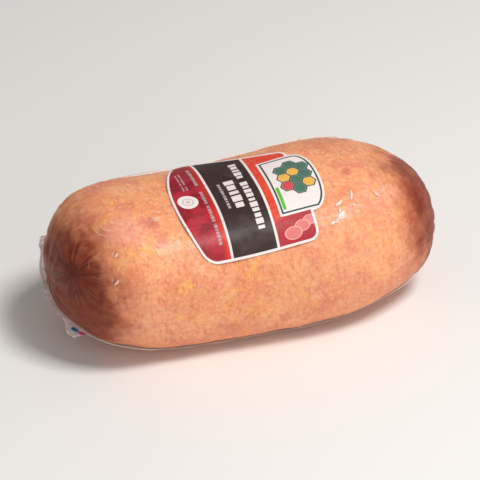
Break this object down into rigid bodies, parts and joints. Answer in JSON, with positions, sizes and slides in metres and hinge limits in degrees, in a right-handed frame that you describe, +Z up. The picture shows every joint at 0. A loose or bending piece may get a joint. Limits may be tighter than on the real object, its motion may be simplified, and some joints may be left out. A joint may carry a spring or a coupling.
{
  "type": "honey ham",
  "caption": "Whole boneless honey ham in clear shrink film, oval with blunt ends, a sealed film fin with dog ears at each end, and a wrap label on its top and front.",
  "frame": {"origin": "centre of the resting face's level, under the middle of the box that holds the ham", "axes": "+X along the ham, +Z up, -Y towards the side that carries most of the label"},
  "size_m": [0.356, 0.173, 0.1384],
  "materials": {
    "meat": "moist smoked skin seen through clear film",
    "film": "clear shrink film",
    "label": "gloss print"
  },
  "bodies": {
    "root": {"wrapped_ham": "meat", "label": "label"}
  },
  "joints": []
}
